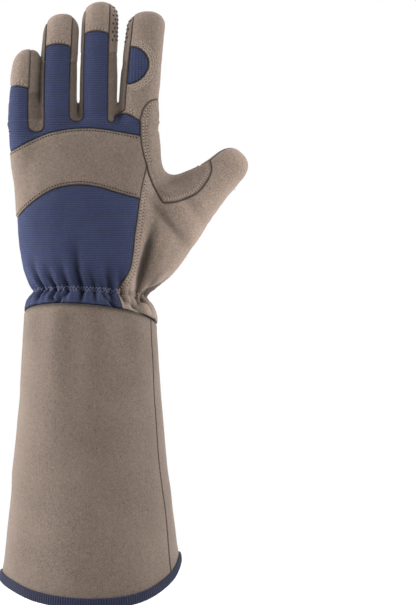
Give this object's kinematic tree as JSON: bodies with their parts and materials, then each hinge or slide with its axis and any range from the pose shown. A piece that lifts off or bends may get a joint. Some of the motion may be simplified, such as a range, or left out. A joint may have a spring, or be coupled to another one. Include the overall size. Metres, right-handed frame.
{
  "type": "pruning gauntlet glove",
  "caption": "Long suede and knit pruning gauntlet for a left hand, with a reinforced palm, knuckle band, elasticated wrist and wide bound cuff.",
  "frame": {"origin": "centre of the cuff's mouth, at the mouth's middle plane", "axes": "+Z from the mouth up to the fingertips; +X towards the thumb; -Y is the back of the hand and +Y the palm"},
  "size_m": [0.1738, 0.1062, 0.4233],
  "materials": {
    "flex_knit": "ribbed stretch knit, navy",
    "back_knit": "fine stretch knit, navy",
    "saddle_suede": "synthetic suede, matt, warm taupe",
    "index_suede": "synthetic suede, matt, warm taupe",
    "fingertip_suede": "synthetic suede, matt, warm taupe",
    "band_suede": "synthetic suede, matt, warm taupe",
    "thumb_suede": "synthetic suede, matt, warm taupe",
    "grip_suede": "synthetic suede, matt, warm taupe",
    "dotted_suede": "synthetic suede with small raised dark grip dots",
    "palm_suede": "synthetic suede, matt, warm taupe",
    "gusset_suede": "synthetic suede, matt, darker taupe",
    "cuff_suede": "synthetic suede, matt, warm taupe",
    "binding_tape": "woven edge binding, navy"
  },
  "bodies": {
    "root": {"index_flex_insert": "flex_knit", "thumb_saddle": "saddle_suede", "index_back": "index_suede", "little_fingertip": "fingertip_suede", "ring_fingertip": "fingertip_suede", "middle_fingertip": "fingertip_suede", "finger_back_knit": "back_knit", "knuckle_band": "band_suede", "back_panel": "back_knit", "thumb_back": "thumb_suede", "little_grip_patch": "grip_suede", "ring_grip_patch": "grip_suede", "middle_grip_patch": "dotted_suede", "index_grip_patch": "dotted_suede", "thumb_grip_patch": "dotted_suede", "palm": "palm_suede", "gusset_little_ring": "gusset_suede", "gusset_ring_middle": "gusset_suede", "gusset_middle_index": "gusset_suede", "palm_patch": "palm_suede", "cuff_back": "cuff_suede", "cuff_palm": "cuff_suede", "hem_binding": "binding_tape"}
  },
  "joints": []
}
